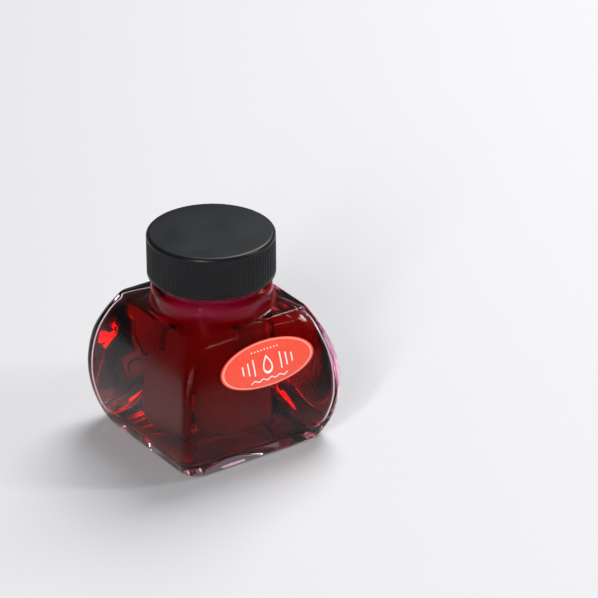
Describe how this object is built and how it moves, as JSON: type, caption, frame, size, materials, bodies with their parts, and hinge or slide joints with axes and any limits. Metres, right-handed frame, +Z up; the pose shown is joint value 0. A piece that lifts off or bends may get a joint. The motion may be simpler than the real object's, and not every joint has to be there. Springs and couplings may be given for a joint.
{
  "type": "ink bottle",
  "caption": "Square-shouldered glass ink bottle with bulging flat sides, ribbed screw cap, hanging ink reservoir insert and oval label.",
  "frame": {"origin": "middle of the square face that the bottle stands on", "axes": "+Z up along the axis of the neck and cap, -Y towards the labelled face, +X to the right when facing the label"},
  "size_m": [0.055, 0.055, 0.0645],
  "materials": {
    "clear_glass": "polished",
    "red_ink": "liquid, stands in for water-based red dye ink",
    "clear_plastic": "moulded, translucent",
    "black_plastic": "moulded, satin",
    "foam_liner": "foamed sheet",
    "label_paper": "printed and laminated film"
  },
  "bodies": {
    "bottle": {"glass_bottle": "clear_glass", "ink": "red_ink", "reservoir": "clear_plastic", "label": "label_paper"},
    "liner": {"cap_liner": "foam_liner"},
    "cap": {"cap": "black_plastic"}
  },
  "joints": [
    {"name": "cap_lift", "type": "slide", "parent": "bottle", "child": "liner", "axis": [0, 0, 1], "range_m": [0, 0.024]},
    {"name": "cap_turn", "type": "hinge", "parent": "liner", "child": "cap", "pos_m": [0, 0, 0.058], "axis": [0, 0, 1], "range_deg": [0, 2160]}
  ],
  "couplings": [
    {"joint": "cap_lift", "follows": "cap_turn", "m_per_rad": 0.00063662}
  ]
}
